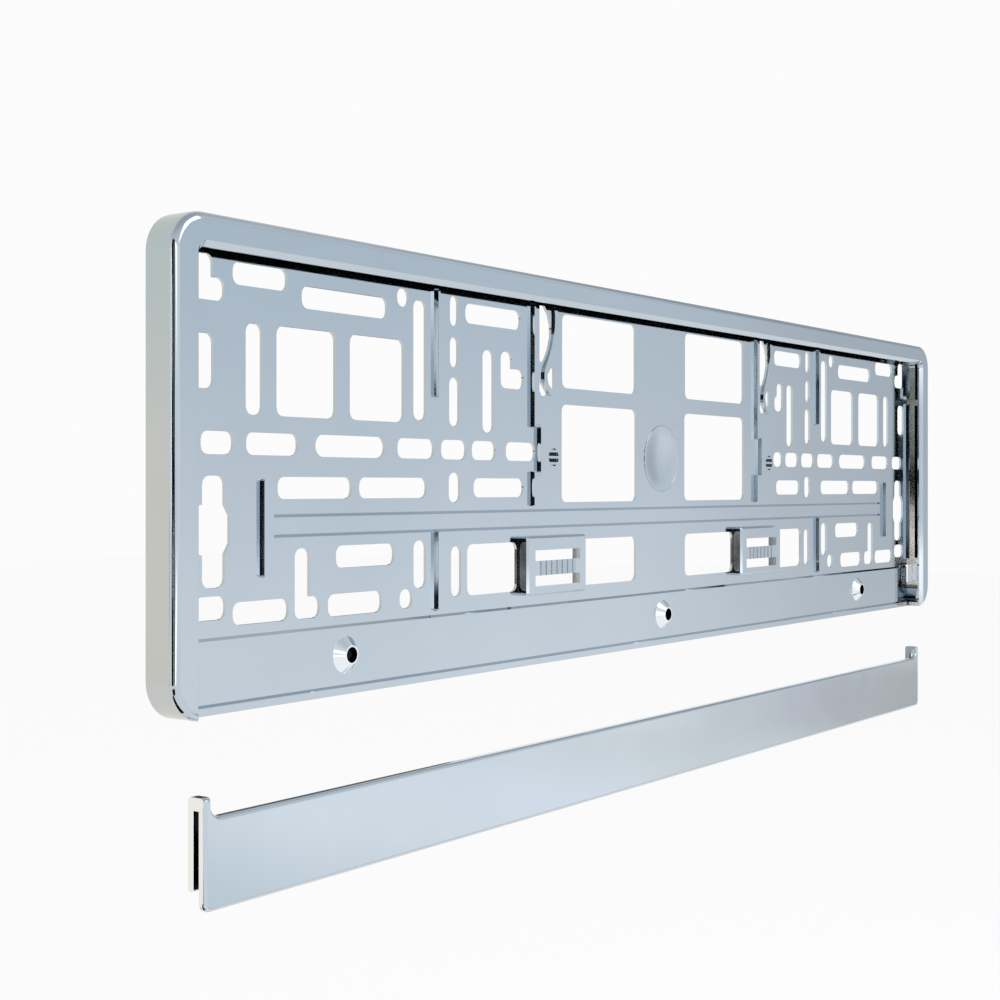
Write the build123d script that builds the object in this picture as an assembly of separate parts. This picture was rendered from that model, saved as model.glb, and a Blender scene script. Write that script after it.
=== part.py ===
"""Number plate holder: a moulded tray with a lattice floor and its clip-on lower strip.

The holder is drawn lying on its back, x to the right, y up and z to the front, with the
back face at z = 0 and the origin at its centre, and is stood up at the end.
Heights in the lists are measured from the lower edge of the tray. Cut-outs of the middle
field are measured outwards from the centre, and those of the end fields inwards from the
tray's end, so that they stay with what they belong to when the width changes.
"""
import os
from math import cos, radians, sin
from build123d import *

# Tray: outer size, walls, floor skin and the lips that hold the plate
WIDTH = 532.0
HEIGHT = 135.5
DEPTH = 11.0
CORNER_RADIUS = 11.0
EDGE_ROUND = 2.2
WALL = 2.0
FLOOR = 2.5
FLOOR_SKIN = 1.0
TOP_LIP = 9.2
END_LIP = 10.0
LIP_THICKNESS = 2.4
LIP_BEVEL = 1.6
LIP_CORNER = 2.0

# Pads on the back, level with the walls, behind the dish and the screws
DISH_PAD_RADIUS = 15.0
SCREW_PAD_RADIUS = 6.5

# Screw band, a low step along the lower edge, and the scored lines on band and floor
BAND_END_GAP = 12.0
BAND_TOP = 21.0
BAND_STEP = 0.8
BAND_BEVEL = 0.75
SCORE_WIDTH = 0.9
BAND_SCORE = 2.6
STRAP_END_GAP = 46.0
STRAP_SCORES = [48.2, 54.0]

# Screw bosses on the band
BOSS_PITCH = 190.0
BOSS_HEIGHT = 12.0
BOSS_FOOT_RADIUS = 5.6
BOSS_TOP_RADIUS = 2.9
BOSS_RISE = 2.6
SCREW_RADIUS = 2.25

# Lattice: corner rounding of the cut-outs
WINDOW_ROUND = 2.5
NOTCH_ROUND = 1.0
ELL_ROUND = 2.4
SLOT_ROUND = 2.4
FULLEST = 0.48
CHORDS = 3

# Cut-outs of the middle field, on both halves: nearest and farthest x, lowest and highest edge
MIDDLE_REACH = 128.0
MIDDLE_WINDOWS = [
    (19.4, 70.9, 98.0, 124.6),
    (18.8, 71.2, 56.8, 92.0),
    (19.2, 60.5, 26.2, 43.2),
    (99.4, 128.0, 26.2, 43.2),
]
MIDDLE_SLOTS = [
    (113.0, 119.4, 80.6, 108.4),
    (111.8, 125.4, 71.3, 77.7),
]
# Cut-outs beside the latches, which differ from one half to the other
LEFT_SLOTS = [
    (97.0, 129.0, 116.6, 123.2),
    (88.2, 105.9, 71.3, 77.7),
    (95.2, 124.4, 58.8, 65.2),
]
LEFT_ELL = ((102.1, 108.9, 96.1, 108.6), (95.2, 108.9, 96.1, 102.9))
RIGHT_SLOTS = [
    (100.5, 128.5, 116.6, 123.2),
    (99.8, 109.0, 71.3, 77.7),
    (102.5, 127.0, 58.8, 65.2),
]
RIGHT_ELL = ((103.0, 109.3, 96.1, 108.6), (100.8, 109.3, 96.1, 102.9))

# Cut-outs of the end fields: nearest and farthest from the end, lowest and highest edge
END_WINDOWS = [
    (78.9, 104.7, 82.6, 108.5),
    (47.0, 72.4, 82.6, 108.5),
]
END_SLOTS = [
    (29.5, 51.5, 118.6, 125.0),
    (57.6, 96.6, 114.4, 121.0),
    (101.4, 107.2, 119.0, 124.8),
    (109.5, 116.0, 83.6, 121.8),
    (34.6, 41.2, 82.6, 108.3),
    (14.0, 22.2, 89.2, 104.3),
    (128.6, 133.2, 115.0, 125.0),
    (128.6, 133.2, 101.4, 111.5),
    (128.2, 133.8, 82.1, 98.2),
    (17.4, 29.8, 71.3, 77.7),
    (34.8, 56.0, 71.3, 77.7),
    (101.6, 120.2, 71.3, 77.7),
    (123.9, 137.6, 71.3, 77.7),
    (47.5, 79.8, 58.8, 65.2),
    (83.2, 116.4, 58.8, 65.2),
    (128.0, 134.2, 57.2, 67.0),
    (72.6, 100.0, 38.0, 44.7),
    (69.0, 93.9, 23.6, 30.3),
    (102.6, 109.0, 24.0, 30.0),
    (109.6, 116.0, 30.0, 45.2),
    (129.2, 134.8, 26.3, 42.8),
    (15.0, 26.8, 25.8, 32.3),
    (29.5, 52.0, 23.8, 30.2),
]
FIXING_SLOT = (63.5, 95.5, 71.2, 77.8)
# L-shaped holes: a stem and a foot each, as two such boxes
END_ELLS = [
    ((14.0, 22.0, 113.4, 126.0), (14.0, 26.4, 113.4, 119.8)),
    ((54.6, 61.0, 23.8, 44.4), (54.6, 65.4, 23.8, 30.2)),
]
KEYHOLE_NECK = (17.9, 26.5, 34.6, 65.4)
KEYHOLE_WAIST = (15.0, 28.4, 43.7, 57.4)
KEYHOLE_SHOULDER = 3.0
CLIP_POCKET = (3.0, 11.0, 12.4, 21.4)

# Ribs standing on the floor of the end fields, measured as the cut-outs there
RIBS = [
    (120.0, 122.0, 90.9, 126.6),
    (120.0, 122.0, 22.0, 48.4),
    (40.0, 42.0, 36.4, 64.8),
    (9.0, 11.0, 24.0, 106.0),
]
FINGER = (9.5, 15.0, 107.4, 130.0)
RIB_RISE = 1.6
RIB_DRAFT = 13.0

# Latch: a jogged wall, three openings round a raised S-shaped leaf, and a ribbed mark below,
# measured to the right from the latch's own left edge
LATCH_LEFT = 91.2
LATCH_RIGHT = 80.5
LATCH_WALLS = [
    (0.0, 1.8, 84.5, 126.6),
    (4.0, 5.8, 66.4, 84.5),
    (0.0, 1.8, 55.4, 66.4),
]
LATCH_LINKS = [
    (0.0, 5.8, 83.0, 84.6),
    (0.0, 5.8, 66.3, 67.9),
]
LEAF_OPENINGS = [
    [(5.8, 126.4), (5.8, 107.0), (7.0, 105.8), (9.4, 107.4), (11.6, 111.0), (13.2, 115.6),
     (13.2, 119.6), (11.6, 123.6), (9.0, 126.4)],
    [(15.2, 105.0), (12.8, 104.4), (10.7, 101.8), (11.4, 99.0), (13.4, 97.4), (15.2, 97.4)],
    [(5.8, 99.2), (5.8, 96.2), (7.0, 94.6), (10.5, 94.6), (10.9, 95.6), (7.4, 99.2)],
]
LEAF_WIDTH = 2.0
LEAF_RISE = 0.8
LEAF_UPPER = [(15.2, 126.4), (14.6, 114.6), (9.4, 104.4)]
LEAF_LOWER = [(9.4, 104.4), (8.8, 100.9), (12.6, 95.6)]
MARK_PLACE = (14.8, 72.9)
MARK_RADIUS = 3.2
MARK_DEPTH = 0.6
MARK_BAR = 0.9
MARK_PITCH = 2.2

# Catch: a hollow platform bridging the lower window, with two slots and a ridged bar
CATCH_NEAR = 61.0
CATCH_FAR = 98.5
CATCH_BOTTOM = 24.6
CATCH_TOP = 45.2
CATCH_RISE = 4.2
CATCH_SKIN = 1.6
CATCH_BEVEL = 0.8
CATCH_SLOT_NEAR = 65.5
CATCH_SLOT_FAR = 94.0
CATCH_SLOT_BOTTOMS = [27.7, 36.5]
CATCH_SLOT_HEIGHT = 3.7
CATCH_RIDGES = 7
CATCH_RIDGE_WIDTH = 1.6
CATCH_RIDGE_PITCH = 3.4
CATCH_RIDGE_RISE = 0.2

# Dished round on the centre post
DISH_HEIGHT = 73.4
DISH_RADIUS = 12.5
DISH_DEPTH = 1.0
DISH_RIM = 1.2
DISH_RIM_RISE = 0.3

# Strip: taken off and lowered straight below its seat
STRIP_END_GAP = 1.7
STRIP_HEIGHT = 25.2
STRIP_THICKNESS = 2.0
STRIP_SETBACK = 1.3
STRIP_DROP = 51.5
STRIP_CORNER = 2.8
STRIP_EDGE = 1.25
STRIP_RETURN = 2.8
STRIP_RETURN_SKIN = 1.6
EAR_WIDTH = 2.8
EAR_RISE = 5.6
EAR_FOOT_ROUND = 4.0
EAR_TOP_ROUND = 1.25
HOOK_DEPTH = 6.1
HOOK_SKIN = 2.1
HOOK_WIDTH = 14.0
HOOK_SHOULDER = 20.0
HOOK_BRIDGE = 3.6
HOOK_BOTTOM = 5.3
HOOK_ROUND = 1.0

# Worked out from the above
END = WIDTH / 2
FLOOR_TO_BASE = -HEIGHT / 2
BAND_FACE = FLOOR + BAND_STEP
OPENING_HALF = END - END_LIP
OPENING_TOP = HEIGHT / 2 - TOP_LIP
STRIP_LENGTH = 2 * (OPENING_HALF - STRIP_END_GAP)
STRIP_FRONT = DEPTH - STRIP_SETBACK
LATCH_PLACES = [-LATCH_LEFT, LATCH_RIGHT]
CATCH_ROOM = (CATCH_NEAR + CATCH_SKIN, CATCH_FAR - CATCH_SKIN,
              CATCH_BOTTOM + CATCH_SKIN, CATCH_TOP - CATCH_SKIN)
THROUGH = 40.0
SINK = 0.5
OVERCUT = 1.0
SAME_PLACE = 0.01


def patch(box):
    """A plain rectangle from x and height limits."""
    left, right, low, high = box
    place = Pos((left + right) / 2, (low + high) / 2 + FLOOR_TO_BASE)
    return place * Rectangle(right - left, high - low)


def rounded(box, radius=SLOT_ROUND):
    """A rectangle with its corners rounded in short chords, which keeps the lattice light."""
    left, right, low, high = box
    r = min(radius, FULLEST * (right - left), FULLEST * (high - low))
    centres = [(right - r, high - r), (left + r, high - r), (left + r, low + r), (right - r, low + r)]
    points = []
    for quarter, (x, y) in enumerate(centres):
        for step in range(CHORDS + 1):
            turn = radians(90 * (quarter + step / CHORDS))
            points.append((x + r * cos(turn), y + r * sin(turn)))
    return Pos(0, FLOOR_TO_BASE) * Polygon(*points, align=None)


def true_slot(box):
    """A long hole with true round ends, which a screw bears on."""
    left, right, low, high = box
    place = Pos((left + right) / 2, (low + high) / 2 + FLOOR_TO_BASE)
    return place * SlotOverall(right - left, high - low)


def from_end(box):
    """A box of an end field, turned into x and height limits on the right half."""
    near, far, low, high = box
    return (END - far, END - near, low, high)


def in_end_field(boxes):
    """The boxes of an end field that lie clear of the middle field."""
    placed = [from_end(box) for box in boxes]
    return [box for box in placed if box[0] >= MIDDLE_REACH]


def slab(outline, low, high):
    """A flat solid of the given outline between two depths."""
    return extrude(Pos(0, 0, low) * outline, high - low)


def both_halves(shape):
    """The shape and its mirror image in the other half."""
    return shape + mirror(shape, about=Plane.YZ)


def tray():
    """The walls, the floor skin, the lips along the top and both ends, and the pads behind."""
    body = slab(RectangleRounded(WIDTH, HEIGHT, CORNER_RADIUS), 0, DEPTH)
    front_edges = body.faces().sort_by(Axis.Z)[-1].edges()
    body = fillet(front_edges, EDGE_ROUND)
    hollow = RectangleRounded(WIDTH - 2 * WALL, HEIGHT - 2 * WALL, CORNER_RADIUS - WALL)
    body -= slab(hollow, -OVERCUT, FLOOR - FLOOR_SKIN)
    body -= slab(hollow, FLOOR, DEPTH - LIP_THICKNESS)
    body -= slab(lip_opening(0), FLOOR, DEPTH + OVERCUT)
    body -= bevel_cut()
    return body + back_pads()


def back_pads():
    """Round pads that carry the skin where the dish and the screws need depth."""
    outlines = [Pos(0, DISH_HEIGHT) * Circle(DISH_PAD_RADIUS)]
    outlines += [Pos(BOSS_PITCH * n, BOSS_HEIGHT) * Circle(SCREW_PAD_RADIUS) for n in (-1, 0, 1)]
    return slab(Pos(0, FLOOR_TO_BASE) * (Sketch() + outlines), 0, FLOOR)


def lip_opening(grow):
    """The outline of the front opening, which runs out through the lower edge."""
    low = -HEIGHT - grow
    high = OPENING_TOP + grow
    place = Pos(0, (low + high) / 2)
    return place * RectangleRounded(2 * (OPENING_HALF + grow), high - low, LIP_CORNER + grow)


def bevel_cut():
    """The slanted edge round the front opening."""
    inner = Pos(0, 0, DEPTH - LIP_BEVEL) * lip_opening(0)
    outer = Pos(0, 0, DEPTH) * lip_opening(LIP_BEVEL)
    return loft([inner.face(), outer.face()])


def screw_band():
    """The low step along the lower edge, with a slanted upper edge."""
    outline = patch((BAND_END_GAP - END, END - BAND_END_GAP, 0, BAND_TOP))
    band = slab(outline, FLOOR - SINK, BAND_FACE)
    upper_front = band.edges().filter_by(Axis.X).sort_by(Axis.Y)[-2:].sort_by(Axis.Z)[-1]
    return chamfer(upper_front, BAND_BEVEL)


def score(end_gap, height, face):
    """A shallow V-shaped line along the holder."""
    side = SCORE_WIDTH / 2 ** 0.5
    place = Pos(0, height + FLOOR_TO_BASE, face) * Rot(45, 0, 0)
    return place * Box(2 * (END - end_gap), side, side)


def scores():
    """The line near the lower edge of the band and the two of the strap across the middle."""
    lines = [score(STRAP_END_GAP, height, FLOOR) for height in STRAP_SCORES]
    return Part() + lines + score(BAND_END_GAP, BAND_SCORE, BAND_FACE)


def ell(boxes):
    """An L-shaped hole."""
    stem, foot = boxes
    return rounded(stem, ELL_ROUND) + rounded(foot, ELL_ROUND)


def keyhole():
    """A slot with a wider waist that has sloping shoulders."""
    neck = from_end(KEYHOLE_NECK)
    left, right, low, high = from_end(KEYHOLE_WAIST)
    inset = neck[0] - left
    points = [
        (left, low + KEYHOLE_SHOULDER),
        (left + inset, low),
        (right - inset, low),
        (right, low + KEYHOLE_SHOULDER),
        (right, high - KEYHOLE_SHOULDER),
        (right - inset, high),
        (left + inset, high),
        (left, high - KEYHOLE_SHOULDER),
    ]
    waist = Polygon(*points, align=None)
    return rounded(neck) + Pos(0, FLOOR_TO_BASE) * waist


def lattice():
    """Every cut-out of the floor in one outline."""
    shared = [rounded(box, WINDOW_ROUND) for box in MIDDLE_WINDOWS + in_end_field(END_WINDOWS)]
    shared += [rounded(box) for box in MIDDLE_SLOTS + in_end_field(END_SLOTS)]
    shared += [ell([from_end(box) for box in boxes]) for boxes in END_ELLS]
    shared += [keyhole(), true_slot(from_end(FIXING_SLOT)), patch(from_end(CLIP_POCKET)), patch(CATCH_ROOM)]
    left = Sketch() + [rounded(box) for box in LEFT_SLOTS] + ell(LEFT_ELL)
    right = Sketch() + [rounded(box) for box in RIGHT_SLOTS] + ell(RIGHT_ELL)
    latches = [Pos(x, 0) * leaf_openings() for x in LATCH_PLACES]
    return both_halves(Sketch() + shared) + mirror(left, about=Plane.YZ) + right + latches


def leaf_openings():
    """The three openings round a latch's leaf."""
    return Pos(0, FLOOR_TO_BASE) * (Sketch() + [Polygon(*points, align=None) for points in LEAF_OPENINGS])


def leaves():
    """The S-shaped leaf raised between the openings of each latch."""
    outline = trace([ThreePointArc(*LEAF_UPPER), ThreePointArc(*LEAF_LOWER)], LEAF_WIDTH)
    leaf = slab(Pos(0, FLOOR_TO_BASE) * outline, FLOOR - SINK, FLOOR + LEAF_RISE)
    return Part() + [Pos(x, 0) * leaf for x in LATCH_PLACES]


def drafted(outline):
    """A low wall of the given outline on the floor, narrower at its top."""
    return extrude(Pos(0, 0, FLOOR - SINK) * outline, SINK + RIB_RISE, taper=RIB_DRAFT)


def ribs():
    """The plain ribs and the rounded fingers that stand on the floor."""
    outlines = [rounded(box) for box in in_end_field(RIBS + [FINGER])]
    return both_halves(Part() + [drafted(outline) for outline in outlines])


def latch_walls():
    """The jogged wall beside each leaf."""
    outline = Sketch() + [patch(box) for box in LATCH_WALLS + LATCH_LINKS]
    wall = drafted(outline)
    return Part() + [Pos(x, 0) * wall for x in LATCH_PLACES]


def latch_marks():
    """Small round sinks with bars left standing, one below each leaf."""
    across, up = MARK_PLACE
    sink = Circle(MARK_RADIUS)
    bars = [Pos(0, MARK_PITCH * n) * Rectangle(3 * MARK_RADIUS, MARK_BAR) for n in (-1, 0, 1)]
    outline = Pos(across, up + FLOOR_TO_BASE) * (sink - bars)
    cut = slab(outline, FLOOR - MARK_DEPTH, FLOOR + OVERCUT)
    return Part() + [Pos(x, 0) * cut for x in LATCH_PLACES]


def catch():
    """A hollow platform, open at the back, with two slots and ridges between them."""
    top = FLOOR + CATCH_RISE
    outer = rounded((CATCH_NEAR, CATCH_FAR, CATCH_BOTTOM, CATCH_TOP), NOTCH_ROUND)
    body = slab(outer, FLOOR, top)
    body = chamfer(body.faces().sort_by(Axis.Z)[-1].edges(), CATCH_BEVEL)
    body -= slab(patch(CATCH_ROOM), FLOOR - OVERCUT, top - CATCH_SKIN)
    for low in CATCH_SLOT_BOTTOMS:
        slot = (CATCH_SLOT_NEAR, CATCH_SLOT_FAR, low, low + CATCH_SLOT_HEIGHT)
        body -= slab(patch(slot), FLOOR, top + OVERCUT)
    bar_low = CATCH_SLOT_BOTTOMS[0] + CATCH_SLOT_HEIGHT
    bar_high = CATCH_SLOT_BOTTOMS[1]
    middle = (CATCH_NEAR + CATCH_FAR) / 2
    for n in range(CATCH_RIDGES):
        x = middle + CATCH_RIDGE_PITCH * (n - (CATCH_RIDGES - 1) / 2)
        ridge = patch((x - CATCH_RIDGE_WIDTH / 2, x + CATCH_RIDGE_WIDTH / 2, bar_low, bar_high))
        body += slab(ridge, top - SINK, top + CATCH_RIDGE_RISE)
    return body


def boss():
    """A raised cone round a screw hole, standing on the band."""
    cone = Cone(BOSS_FOOT_RADIUS, BOSS_TOP_RADIUS, BOSS_RISE,
                align=(Align.CENTER, Align.CENTER, Align.MIN))
    return Pos(0, 0, BAND_FACE) * cone


def at_screws(shape):
    """Copies of the shape at the three screw places of the band."""
    up = BOSS_HEIGHT + FLOOR_TO_BASE
    return Part() + [Pos(BOSS_PITCH * n, up, 0) * shape for n in (-1, 0, 1)]


def dish(body):
    """The shallow dish with a raised rim on the centre post."""
    place = Pos(0, DISH_HEIGHT + FLOOR_TO_BASE, FLOOR)
    rim = Cone(DISH_RADIUS + DISH_RIM, DISH_RADIUS, DISH_RIM_RISE,
               align=(Align.CENTER, Align.CENTER, Align.MIN))
    chord = DISH_DEPTH + DISH_RIM_RISE
    ball_radius = (DISH_RADIUS ** 2 + chord ** 2) / (2 * chord)
    ball = Pos(0, 0, DISH_RIM_RISE + ball_radius - chord) * Sphere(ball_radius)
    return body + place * rim - place * ball


def holder_base():
    """The whole tray moulding."""
    body = tray() + screw_band() - scores()
    body -= slab(lattice(), -OVERCUT, BAND_FACE + OVERCUT)
    body += ribs()
    body += latch_walls()
    body += leaves()
    body -= latch_marks()
    body += both_halves(catch())
    body += at_screws(boss())
    body -= at_screws(Cylinder(SCREW_RADIUS, THROUGH))
    return dish(body)


def strip_outline():
    """The front of the strip: a long band with an ear rising at each end."""
    half = STRIP_LENGTH / 2
    top = STRIP_HEIGHT
    ear_top = top + EAR_RISE
    ear_in = half - EAR_WIDTH
    points = [
        (-half, 0), (half, 0), (half, ear_top), (ear_in, ear_top),
        (ear_in, top), (-ear_in, top), (-ear_in, ear_top), (-half, ear_top),
    ]
    outline = Polygon(*points, align=None)
    corners = outline.vertices()
    outline = fillet([v for v in corners if abs(v.Y) < SAME_PLACE], STRIP_CORNER)
    corners = outline.vertices()
    outline = fillet([v for v in corners if abs(v.Y - top) < SAME_PLACE], EAR_FOOT_ROUND)
    corners = outline.vertices()
    return fillet([v for v in corners if abs(v.Y - ear_top) < SAME_PLACE], EAR_TOP_ROUND)


def side_view(low, high, back, front, radius):
    """A rectangle seen from the end of the strip, between two heights and two depths."""
    outline = Pos((low + high) / 2, (back + front) / 2) * RectangleRounded(high - low, front - back, radius)
    return Plane.YZ * outline


def hook():
    """The tongue behind one end of the strip, joined to the ear at its top and wider below."""
    half = STRIP_LENGTH / 2
    ear_top = STRIP_HEIGHT + EAR_RISE
    back = STRIP_FRONT - HOOK_DEPTH
    inside = STRIP_FRONT - STRIP_THICKNESS
    tongue = side_view(HOOK_BOTTOM, ear_top, back, back + HOOK_SKIN, HOOK_ROUND)
    blade = side_view(HOOK_BOTTOM, HOOK_SHOULDER, back, back + HOOK_SKIN, HOOK_ROUND)
    bridge = side_view(ear_top - HOOK_BRIDGE, ear_top, back, inside + SINK + HOOK_ROUND, HOOK_ROUND)
    upper = Pos(half - EAR_WIDTH, 0, 0) * (extrude(tongue, EAR_WIDTH) + extrude(bridge, EAR_WIDTH))
    return upper + Pos(half - HOOK_WIDTH, 0, 0) * extrude(blade, HOOK_WIDTH)


def clip_strip():
    """The lower strip, standing on its lower edge at y = 0."""
    inside = STRIP_FRONT - STRIP_THICKNESS
    body = slab(strip_outline(), inside, STRIP_FRONT)
    body = fillet(body.faces().sort_by(Axis.Z)[-1].edges(), STRIP_EDGE)
    reach = STRIP_LENGTH / 2 - EAR_WIDTH - EAR_FOOT_ROUND
    back = STRIP_FRONT - STRIP_RETURN
    place = Pos(0, STRIP_HEIGHT - STRIP_RETURN_SKIN / 2, (back + inside + SINK) / 2)
    ledge = place * Box(2 * reach, STRIP_RETURN_SKIN, inside + SINK - back)
    return body + ledge + both_halves(hook())


def stood_up(shape):
    """The shape turned so that its front looks along -Y and its top along +Z."""
    return Rot(90, 0, 0) * shape


base = stood_up(holder_base())
strip = stood_up(Pos(0, FLOOR_TO_BASE - STRIP_DROP, 0) * clip_strip())

os.makedirs("parts", exist_ok=True)
export_step(base, "parts/holder_base.step")
export_step(strip, "parts/clip_strip.step")
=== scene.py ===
"""Chrome-plated number plate holder in a white studio: looks, light and camera."""
from math import radians

import bpy
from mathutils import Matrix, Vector


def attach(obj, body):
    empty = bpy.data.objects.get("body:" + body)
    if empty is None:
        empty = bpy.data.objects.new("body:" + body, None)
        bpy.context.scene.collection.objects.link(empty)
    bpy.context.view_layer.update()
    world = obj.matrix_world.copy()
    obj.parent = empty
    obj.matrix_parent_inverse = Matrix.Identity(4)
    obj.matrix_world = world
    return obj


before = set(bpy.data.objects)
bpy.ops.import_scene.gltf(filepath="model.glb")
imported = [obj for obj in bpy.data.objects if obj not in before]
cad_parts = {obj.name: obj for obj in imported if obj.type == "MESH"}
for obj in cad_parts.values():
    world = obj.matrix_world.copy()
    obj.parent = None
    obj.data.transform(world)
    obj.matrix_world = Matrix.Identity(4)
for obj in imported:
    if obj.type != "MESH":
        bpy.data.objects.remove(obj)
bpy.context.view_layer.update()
scene = bpy.context.scene
scene.view_settings.view_transform = "Standard"

# Camera, placed from the photo's perspective: metres, degrees, and millimetres for the lens
CAMERA_PLACE = (-0.5588, -0.3250, -0.00535)
CAMERA_YAW = -54.34
CAMERA_LENS = 58.4
CAMERA_SENSOR = 36.0
CAMERA_SHIFT_Y = -0.0134
CAMERA_NEAR = 0.02
CAMERA_FAR = 50.0

# Edge rounding of the mouldings, in metres and degrees
BASE_EDGE = 0.00030
STRIP_EDGE = 0.00050
EDGE_SEGMENTS = 3
EDGE_ANGLE = 32.0
SMOOTH_ANGLE = 34.0
FLAT_ANGLE = 0.6
WELD_REACH = 0.000002
NORMAL_WEIGHT = 100

# Plating: its darker and lighter tint, and its roughness where it is smooth and where it is worn
BASE_TINTS = ((0.51, 0.575, 0.63), (0.55, 0.615, 0.67))
BASE_GLOSS = (0.05, 0.09)
STRIP_TINTS = ((0.57, 0.63, 0.68), (0.61, 0.67, 0.72))
STRIP_GLOSS = (0.08, 0.13)

# Noises of the plating as scale, detail and roughness, and the stretch of values that is used
DRIFT_NOISE = (9.0, 3.0, 0.55)
HAZE_NOISE = (70.0, 5.0, 0.6)
WAVE_NOISE = (34.0, 1.0, 0.4)
PEEL_NOISE = (900.0, 2.0, 0.5)
NOISE_SPAN = (0.3, 0.7)

# Bumps of the plating as strength and distance
WAVE_BUMP = (0.06, 0.0006)
PEEL_BUMP = (0.006, 0.0001)

# Screw bores of the tray, whose insides are painted near-black as painted shade
BORE_PITCH = 0.19
BORE_HEIGHT = -0.05575
BORE_RADIUS = 0.00235
BORE_FADE = 0.0001

# Boxes below are a centre and a half size; most stand once on each side
SIDES = (-1, 1)

# Screw bosses and the ends of the hooks, which get a lighter colour than the rest as a painted
# highlight
BOSS_RADIUS = 0.0056
BOSS_FRONT = ((0.0, -0.0047, BORE_HEIGHT), (0.20, 0.0019, 0.0065))
HOOK_ENDS = [((side * 0.2544, -0.0067, -0.1020), (0.0003, 0.0034, 0.0190)) for side in SIDES]
PAINTED_HIGHLIGHT = (0.83, 0.88, 0.93, 1.0)

# Finger pads of the catches, which are matt
PADS = [((side * 0.07975, -0.0068, -0.0338), (0.0115, 0.00016, 0.0027)) for side in SIDES]
PAD_ROUGHNESS = 0.42

# Narrow insides painted near-black like the bores, as painted shade: the latch marks and the hooks
MARKS_ACROSS = (-0.0764, 0.0953)
MARK_INSIDES = [((across, -0.0021, 0.00515), (0.0028, 0.0003, 0.0028)) for across in MARKS_ACROSS]
HOOK_INSIDES = [((side * 0.2529, -0.00668, -0.1011), (0.0012, 0.00105, 0.0128)) for side in SIDES]
PAINTED_SHADE = (0.012, 0.012, 0.014, 1.0)

# Ring round the dish
RING_PLACE = (0.0, -0.0026, 0.00565)
RING_RADIUS = 0.0129
RING_BEAD = 0.0003
RING_SEGMENTS = 96
RING_BEAD_SEGMENTS = 12

# Stage: the world, the floor and the one lamp
BACKGROUND = 0.97
FLOOR_HEIGHT = -0.42
FLOOR_SIZE = 14.0
FLOOR_GREY = (0.9, 0.9, 0.9, 1.0)
FLOOR_GLOW = 0.85
LAMP_PLACE = (0.21, -0.58, 1.0)
LAMP_SIZE = 0.3
LAMP_POWER = 6.0

# Colours of the world and of the cards round the holder
WHITE = (1.0, 1.0, 1.0)
OVERHEAD = (0.50, 0.55, 0.60)
PALE = (1.0, 0.98, 0.95)
CREAM = (1.0, 0.92, 0.82)
SAND = (1.0, 0.77, 0.61)
OLIVE = (0.30, 0.29, 0.25)
KHAKI = (0.27, 0.26, 0.20)
STEEL = (0.44, 0.48, 0.52)
SLATE = (0.42, 0.45, 0.48)
LEAD = (0.30, 0.31, 0.32)
MIST = (0.28, 0.29, 0.30)
COAL = (0.05, 0.05, 0.055)
BLACK = (0.004, 0.004, 0.005)

# Places of the cards: the flags at the left, the wall at the back, and the cards on the ground
FLAG_PLACE = -1.6
SMALL_FLAG_PLACE = -1.59
FLAG_FOOT = -0.33
FLAG_TOP = 0.85
DARK_START = -1.3
KHAKI_START = -0.745
KHAKI_END = -0.70
DARK_END = -0.02
WALL_PLACE = 1.2
CATCH_FLAG_PLACE = 1.19
WALL_TOP = 0.9
GROUND = FLOOR_HEIGHT + 0.01


def new_material(name):
    """A node material and its tree."""
    material = bpy.data.materials.new(name)
    material.use_nodes = True
    return material, material.node_tree


def add_node(tree, kind, **settings):
    """A node with its settings and the values of its inputs."""
    node = tree.nodes.new(kind)
    for key, value in settings.items():
        if key in node.inputs:
            node.inputs[key].default_value = value
        else:
            setattr(node, key, value)
    return node


def feed(tree, socket, value):
    """Gives an input its value: another node's output or a constant."""
    if isinstance(value, bpy.types.NodeSocket):
        tree.links.new(value, socket)
    else:
        socket.default_value = value


def feed_all(tree, sockets, values):
    """Gives inputs their values in order."""
    for socket, value in zip(sockets, values):
        feed(tree, socket, value)


def maths(tree, operation, *values):
    """The result of an operation on numbers."""
    node = add_node(tree, "ShaderNodeMath", operation=operation)
    feed_all(tree, node.inputs, values)
    return node.outputs["Value"]


def vector_maths(tree, operation, *values):
    """The result of an operation on vectors."""
    node = add_node(tree, "ShaderNodeVectorMath", operation=operation)
    feed_all(tree, node.inputs, values)
    return node.outputs["Vector"]


def split(tree, vector):
    """The outputs X, Y and Z of a vector."""
    node = add_node(tree, "ShaderNodeSeparateXYZ")
    feed(tree, node.inputs["Vector"], vector)
    return node.outputs


def spread(tree, value, span, ends):
    """A value that runs between two ends over a span, and stays level outside it."""
    node = add_node(tree, "ShaderNodeMapRange")
    names = ("Value", "From Min", "From Max", "To Min", "To Max")
    feed_all(tree, [node.inputs[name] for name in names], (value, *span, *ends))
    return node.outputs["Result"]


def blend(tree, kind, factor, start, end, **settings):
    """A mix of two values or colours."""
    node = add_node(tree, "ShaderNodeMix", data_type=kind, **settings)
    feed_all(tree, [node.inputs[name] for name in ("Factor", "A", "B")], (factor, start, end))
    return node.outputs["Result"]


def ramp(tree, value, stops):
    """A colour that follows a value through stops, which are pairs of place and colour."""
    node = add_node(tree, "ShaderNodeValToRGB")
    elements = node.color_ramp.elements
    while len(elements) > len(stops):
        elements.remove(elements[-1])
    while len(elements) < len(stops):
        elements.new(1.0)
    for element, (place, colour) in zip(elements, stops):
        element.position = place
        element.color = (*colour, 1.0)
    feed(tree, node.inputs["Fac"], value)
    return node.outputs["Color"]


def noise(tree, place, scale, detail, roughness):
    """A soft noise over the piece."""
    node = add_node(tree, "ShaderNodeTexNoise", Scale=scale, Detail=detail, Roughness=roughness)
    feed(tree, node.inputs["Vector"], place)
    return node.outputs["Fac"]


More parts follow.
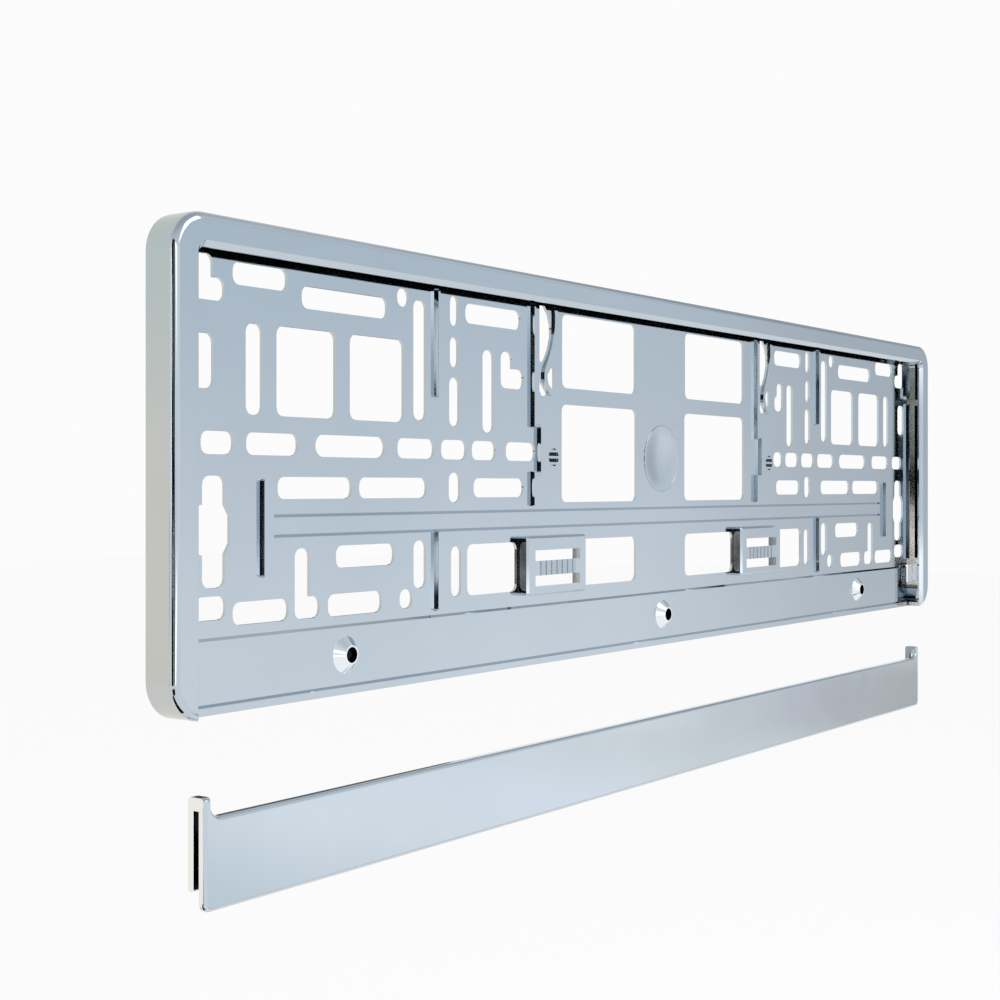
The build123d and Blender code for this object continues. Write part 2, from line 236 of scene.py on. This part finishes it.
def bump(tree, height, strength, distance):
    """A bump node that follows a height."""
    node = add_node(tree, "ShaderNodeBump", Strength=strength, Distance=distance)
    feed(tree, node.inputs["Height"], height)
    return node


def in_box(tree, place, centre, half):
    """A mask that is 1 inside an upright box and 0 elsewhere."""
    away = vector_maths(tree, "ABSOLUTE", vector_maths(tree, "SUBTRACT", place, centre))
    share = split(tree, vector_maths(tree, "DIVIDE", away, half))
    widest = maths(tree, "MAXIMUM", maths(tree, "MAXIMUM", share["X"], share["Y"]), share["Z"])
    return maths(tree, "LESS_THAN", widest, 1.0)


def in_boxes(tree, place, boxes):
    """A mask that is 1 inside any of the boxes and 0 elsewhere."""
    mask = 0.0
    for centre, half in boxes:
        mask = maths(tree, "MAXIMUM", mask, in_box(tree, place, centre, half))
    return mask


def round_bores(tree, place, radius):
    """A mask that is 1 within a radius of the screw bores' middles and 0 elsewhere."""
    parts = split(tree, place)
    both = add_node(tree, "ShaderNodeCombineXYZ")
    feed(tree, both.inputs["X"], maths(tree, "WRAP", parts["X"], BORE_PITCH / 2, -BORE_PITCH / 2))
    feed(tree, both.inputs["Z"], maths(tree, "SUBTRACT", parts["Z"], BORE_HEIGHT))
    away = add_node(tree, "ShaderNodeVectorMath", operation="LENGTH")
    feed(tree, away.inputs[0], both.outputs["Vector"])
    return spread(tree, away.outputs["Value"], (radius, radius + BORE_FADE), (1.0, 0.0))


def chrome(name, tints, gloss, insides):
    """Bright plating on moulded plastic: faint colour drift, uneven gloss and a soft waviness,
    with a painted highlight on the bosses and hook ends, matt pads, and painted shade in the bores and
    narrow insides."""
    material, tree = new_material(name)
    shader = tree.nodes["Principled BSDF"]
    place = add_node(tree, "ShaderNodeTexCoord").outputs["Object"]

    tint = ramp(tree, noise(tree, place, *DRIFT_NOISE), list(zip(NOISE_SPAN, tints)))
    # Painted highlight: the bosses and the hook ends get a lighter colour that stands for a bright
    # reflection
    around_bores = round_bores(tree, place, BOSS_RADIUS)
    bosses = maths(tree, "MULTIPLY", around_bores, in_box(tree, place, *BOSS_FRONT))
    painted_highlight_mask = maths(tree, "MAXIMUM", bosses, in_boxes(tree, place, HOOK_ENDS))
    highlighted_tint = blend(tree, "RGBA", painted_highlight_mask, tint, PAINTED_HIGHLIGHT)
    # Painted shade: the bores and the narrow insides get a near-black colour that stands for the shade
    # deep in them
    bores = round_bores(tree, place, BORE_RADIUS)
    painted_shade_mask = maths(tree, "MAXIMUM", bores, in_boxes(tree, place, insides))
    feed(tree, shader.inputs["Base Color"], blend(tree, "RGBA", painted_shade_mask, highlighted_tint, PAINTED_SHADE))

    haze = spread(tree, noise(tree, place, *HAZE_NOISE), NOISE_SPAN, gloss)
    matt = blend(tree, "FLOAT", in_boxes(tree, place, PADS), haze, PAD_ROUGHNESS)
    feed(tree, shader.inputs["Roughness"], matt)

    swell = bump(tree, noise(tree, place, *WAVE_NOISE), *WAVE_BUMP)
    skin = bump(tree, noise(tree, place, *PEEL_NOISE), *PEEL_BUMP)
    feed(tree, skin.inputs["Normal"], swell.outputs["Normal"])
    feed(tree, shader.inputs["Normal"], skin.outputs["Normal"])
    feed(tree, shader.inputs["Metallic"], 1.0)
    return material


def smooth_group():
    """A modifier tree that shades every face smooth up to its sharp edges."""
    group = bpy.data.node_groups.new("smooth_faces", "GeometryNodeTree")
    group.interface.new_socket("Mesh", in_out="INPUT", socket_type="NodeSocketGeometry")
    group.interface.new_socket("Mesh", in_out="OUTPUT", socket_type="NodeSocketGeometry")
    start = add_node(group, "NodeGroupInput")
    end = add_node(group, "NodeGroupOutput")
    angle = add_node(group, "GeometryNodeInputMeshEdgeAngle")
    sharp = add_node(group, "FunctionNodeCompare", data_type="FLOAT", operation="GREATER_THAN")
    normals = add_node(group, "GeometryNodeSetMeshNormal", mode="SHARPNESS")
    feed(group, sharp.inputs["A"], angle.outputs["Unsigned Angle"])
    feed(group, sharp.inputs["B"], radians(SMOOTH_ANGLE))
    feed(group, normals.inputs["Remove Custom"], True)
    feed(group, normals.inputs["Face Sharpness"], False)
    feed(group, normals.inputs["Edge Sharpness"], sharp.outputs["Result"])
    feed(group, normals.inputs["Mesh"], start.outputs["Mesh"])
    feed(group, end.inputs["Mesh"], normals.outputs["Mesh"])
    return group


def soften_edges(node, width, smooth):
    """Rounds the sharp edges of a moulding, leaving its faces where they are."""
    weld = node.modifiers.new("weld", "WELD")
    weld.merge_threshold = WELD_REACH
    flat = node.modifiers.new("flat", "DECIMATE")
    flat.decimate_type = "DISSOLVE"
    flat.angle_limit = radians(FLAT_ANGLE)
    shade = node.modifiers.new("shade", "NODES")
    shade.node_group = smooth
    edge = node.modifiers.new("edge", "BEVEL")
    edge.width = width
    edge.segments = EDGE_SEGMENTS
    edge.limit_method = "ANGLE"
    edge.angle_limit = radians(EDGE_ANGLE)
    edge.use_clamp_overlap = True
    edge.loop_slide = False
    normals = node.modifiers.new("even", "WEIGHTED_NORMAL")
    normals.mode = "FACE_AREA"
    normals.weight = NORMAL_WEIGHT
    normals.keep_sharp = True


def plate_mouldings(base_finish, strip_finish):
    """Gives both mouldings their plating and their soft edges."""
    smooth = smooth_group()
    mouldings = [("holder_base", base_finish, BASE_EDGE), ("clip_strip", strip_finish, STRIP_EDGE)]
    for name, finish, width in mouldings:
        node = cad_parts[name]
        node.material_slots[0].material = finish
        soften_edges(node, width, smooth)


def dish_ring(finish):
    """The fine raised ring round the dish of the centre post."""
    bpy.ops.mesh.primitive_torus_add(
        major_radius=RING_RADIUS, minor_radius=RING_BEAD,
        major_segments=RING_SEGMENTS, minor_segments=RING_BEAD_SEGMENTS,
        location=RING_PLACE, rotation=(radians(90.0), 0.0, 0.0))
    ring = bpy.context.object
    ring.name = "dish_ring"
    for face in ring.data.polygons:
        face.use_smooth = True
    ring.data.materials.append(finish)
    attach(ring, "tray")


def studio_world():
    """White all round; what the plating mirrors of it turns a little darker overhead."""
    world = bpy.data.worlds.new("studio")
    scene.world = world
    world.use_nodes = True
    tree = world.node_tree
    shade = tree.nodes["Background"]
    place = add_node(tree, "ShaderNodeTexCoord").outputs["Generated"]
    sky = ramp(tree, split(tree, place)["Z"], [(0.15, WHITE), (0.9, OVERHEAD)])
    path = add_node(tree, "ShaderNodeLightPath")
    tone = blend(tree, "RGBA", path.outputs["Is Glossy Ray"], (*WHITE, 1.0), sky)
    feed(tree, shade.inputs["Color"], tone)
    feed(tree, shade.inputs["Strength"], BACKGROUND)


def upright(start, end, low, high):
    """The corners of an upright plane between two places on the ground."""
    return [(*start, low), (*end, low), (*end, high), (*start, high)]


def level(across, along, height):
    """The corners of a level plane from its spans, left to right and front to back."""
    left, right = across
    front, back = along
    return [(left, front, height), (right, front, height), (right, back, height), (left, back, height)]


def stage_plane(name, corners):
    """A flat stage piece from its four corners, with an empty material of its own."""
    mesh = bpy.data.meshes.new(name)
    mesh.from_pydata(corners, [], [(0, 1, 2, 3)])
    thing = bpy.data.objects.new(name, mesh)
    scene.collection.objects.link(thing)
    material, tree = new_material(name)
    tree.nodes.remove(tree.nodes["Principled BSDF"])
    mesh.materials.append(material)
    return thing


def floor():
    """A wide pale floor well below the holder."""
    reach = FLOOR_SIZE / 2
    thing = stage_plane("floor", level((-reach, reach), (-reach, reach), FLOOR_HEIGHT))
    tree = thing.active_material.node_tree
    lit = add_node(tree, "ShaderNodeBsdfDiffuse", Color=FLOOR_GREY)
    glow = add_node(tree, "ShaderNodeEmission", Color=(*WHITE, 1.0), Strength=BACKGROUND)
    path = add_node(tree, "ShaderNodeLightPath")
    seen = maths(tree, "MAXIMUM", path.outputs["Is Camera Ray"], path.outputs["Is Glossy Ray"])
    share = maths(tree, "MULTIPLY", seen, FLOOR_GLOW)
    mix = add_node(tree, "ShaderNodeMixShader")
    feed_all(tree, mix.inputs, (share, lit.outputs["BSDF"], glow.outputs["Emission"]))
    feed(tree, tree.nodes["Material Output"].inputs["Surface"], mix.outputs["Shader"])


def card(name, corners, stops, axis="Z", across=None, strength=1.0):
    """A studio card that only the plating mirrors, shaded along one or two of its axes."""
    thing = stage_plane(name, corners)
    thing.visible_camera = False
    thing.visible_diffuse = False
    thing.visible_shadow = False
    tree = thing.active_material.node_tree
    parts = split(tree, add_node(tree, "ShaderNodeTexCoord").outputs["Generated"])
    tone = ramp(tree, parts[axis], stops)
    if across:
        fade = ramp(tree, parts["X"], [(at, (share, share, share)) for at, share in across])
        tone = blend(tree, "RGBA", 1.0, tone, fade, blend_type="MULTIPLY")
    glow = add_node(tree, "ShaderNodeEmission", Strength=strength)
    feed(tree, glow.inputs["Color"], tone)
    feed(tree, tree.nodes["Material Output"].inputs["Surface"], glow.outputs["Emission"])


def even(colour):
    """The stops of a card in one colour."""
    return [(0.0, colour), (1.0, colour)]


def flag(name, along, heights, stops, strength=1.0, place=FLAG_PLACE):
    """An upright card at the left from its spans, front to back and bottom to top."""
    start, end = along
    card(name, upright((place, start), (place, end), *heights), stops, strength=strength)


def left_flags():
    """The row of flags at the left, mirrored by what faces left."""
    heights = (FLAG_FOOT, FLAG_TOP)
    flag("dark_flag", (DARK_START, KHAKI_START), heights, even(BLACK))
    stops = [(0.0, SAND), (0.240, SAND), (0.251, BLACK), (0.305, BLACK), (0.315, KHAKI), (0.7, OLIVE)]
    flag("khaki_flag", (KHAKI_START, KHAKI_END), heights, stops, strength=3.2)
    flag("dark_flag_back", (KHAKI_END, DARK_END), heights, even(BLACK))
    flag("strip_flag", (0.66, 0.78), (-0.36, -0.24), even(MIST))
    stops = [(0.0, WHITE), (0.12, WHITE), (0.2, STEEL), (0.55, STEEL), (0.68, WHITE)]
    flag("white_flag", (-4.9, -1.34), (GROUND, FLAG_TOP), stops, strength=1.85)


def small_flags():
    """Small flags just before the row, which the ribs and the latch walls mirror."""
    stops = [(0.04, BLACK), (0.06, PALE), (0.21, PALE), (0.225, BLACK),
             (0.65, BLACK), (0.665, PALE), (0.925, PALE), (0.94, BLACK)]
    flag("rib_flag", (-0.335, -0.285), (-0.15, 0.25), stops, strength=1.5, place=SMALL_FLAG_PLACE)
    stops = [(0.0, (0.42, 0.46, 0.50)), (1.0, (0.55, 0.59, 0.64))]
    flag("rib_flag_right", (-0.14, -0.095), (-0.10, 0.01), stops, place=SMALL_FLAG_PLACE)
    light = even(PALE)
    flag("latch_flag", (-2.30, -2.13), (0.03, 0.30), light, strength=1.7, place=SMALL_FLAG_PLACE)
    flag("latch_light", (DARK_END, 0.06), (-0.05, 0.30), light, strength=2.6, place=SMALL_FLAG_PLACE)


def warm_cards():
    """The warm wall, slope and ground behind the holder, which its left side mirrors, and the
    small dark flags before the wall, which the catches mirror."""
    stops = [(0.15, (1.0, 0.90, 0.76)), (0.35, (0.97, 0.88, 0.78)),
             (0.52, (0.83, 0.85, 0.77)), (0.75, (0.80, 0.84, 0.79))]
    card("warm_card", upright((-2.4, WALL_PLACE), (-0.6, WALL_PLACE), GROUND, WALL_TOP), stops)
    slope = [(-1.0, 1.25, 0.45), (0.8, 1.25, 0.45), (0.8, 0.45, 1.25), (-1.0, 0.45, 1.25)]
    card("warm_top", slope, [(0.0, (0.86, 0.87, 0.78)), (1.0, (0.76, 0.78, 0.71))])
    card("warm_ground", level((-2.0, 0.6), (0.12, 1.15), GROUND), even(CREAM), "Y")
    for name, start, end in (("catch_flag_left", -1.90, -1.76), ("catch_flag_right", -2.37, -2.19)):
        corners = upright((start, CATCH_FLAG_PLACE), (end, CATCH_FLAG_PLACE), -0.23, -0.05)
        card(name, corners, even(COAL))


def dark_grounds():
    """Dark cards on the ground, which draw the lines along the rim and the edges."""
    card("dark_ground", level((-0.75, -0.29), (-0.12, 0.115), GROUND), even(BLACK), "Y")
    outline = [(-1.25, -0.85), (-0.76, -0.42), (-0.76, -0.02), (-1.25, -0.03)]
    card("dark_ground_left", [(*corner, GROUND) for corner in outline], even(BLACK), "Y")
    card("ground_line", level((0.1, 2.0), (-0.62, -0.42), GROUND), even(LEAD), "Y")


def cool_cards():
    """The cool wall at the front right, which the tray's floor and the strip mirror."""
    stops = [(0.0, (0.98, 0.99, 1.0)), (0.31, (0.83, 0.86, 0.90)),
             (0.64, (0.67, 0.73, 0.79)), (1.0, (0.56, 0.63, 0.70))]
    across = [(0.0, 0.95), (0.22, 0.97), (0.46, 1.0), (0.57, 0.95), (0.66, 0.80), (0.75, 0.70),
              (1.0, 0.65)]
    wall = upright((0.95, -2.1), (2.45, -0.2), GROUND, WALL_TOP)
    card("cool_card", wall, stops, across=across, strength=1.08)
    stops = [(0.0, (0.90, 0.90, 0.91)), (0.26, (0.71, 0.70, 0.74)),
             (0.5, (0.61, 0.61, 0.61)), (1.0, (0.55, 0.55, 0.55))]
    card("strip_shade", upright((1.804, -0.986), (2.209, -0.473), GROUND, -0.305), stops, "X")
    stops = [(0.13, (0.68, 0.75, 0.78)), (0.22, (0.80, 0.83, 0.87)), (0.32, (0.88, 0.92, 0.93)),
             (0.52, (0.88, 0.91, 0.96)), (0.8, (0.76, 0.77, 0.76)), (0.94, (0.70, 0.71, 0.71))]
    card("strip_ground", level((0.4, 1.95), (-1.3, -0.7), GROUND), stops, "X", strength=1.2)


def far_cards():
    """A grey card high at the right, a white one in front for sparks, and a dark one behind."""
    stops = [(0.0, SLATE), (0.5, SLATE), (1.0, (0.6, 0.62, 0.63))]
    card("grey_top", upright((1.5, -0.5), (1.5, 0.75), 0.5, 1.5), stops)
    corners = [(-0.12, -1.06, 0.30), (0.42, -0.72, 0.30), (0.36, -0.6, 0.95), (-0.14, -0.92, 0.95)]
    card("spark", corners, even(WHITE), strength=2.2)
    stops = [(0.0, (0.3, 0.32, 0.34)), (1.0, BLACK)]
    card("dark_back", upright((0.3, 1.7), (1.7, 1.4), GROUND, 1.0), stops)


def softbox():
    """A square soft light that faces the holder and is not mirrored in it."""
    data = bpy.data.lights.new("softbox", "AREA")
    data.shape = "SQUARE"
    data.size = LAMP_SIZE
    data.energy = LAMP_POWER
    thing = bpy.data.objects.new("softbox", data)
    thing.location = LAMP_PLACE
    thing.rotation_euler = (-Vector(LAMP_PLACE)).to_track_quat("-Z", "Y").to_euler()
    thing.visible_glossy = False
    scene.collection.objects.link(thing)


def camera():
    """The photo's viewpoint."""
    data = bpy.data.cameras.new("camera")
    data.sensor_width = CAMERA_SENSOR
    data.lens = CAMERA_LENS
    data.shift_y = CAMERA_SHIFT_Y
    data.clip_start = CAMERA_NEAR
    data.clip_end = CAMERA_FAR
    thing = bpy.data.objects.new("camera", data)
    thing.location = CAMERA_PLACE
    thing.rotation_euler = (radians(90.0), 0.0, radians(CAMERA_YAW))
    scene.collection.objects.link(thing)
    scene.camera = thing


base_finish = chrome("plated_base", BASE_TINTS, BASE_GLOSS, MARK_INSIDES)
strip_finish = chrome("plated_strip", STRIP_TINTS, STRIP_GLOSS, HOOK_INSIDES)
plate_mouldings(base_finish, strip_finish)
dish_ring(base_finish)
studio_world()
floor()
left_flags()
small_flags()
warm_cards()
dark_grounds()
cool_cards()
far_cards()
softbox()
camera()
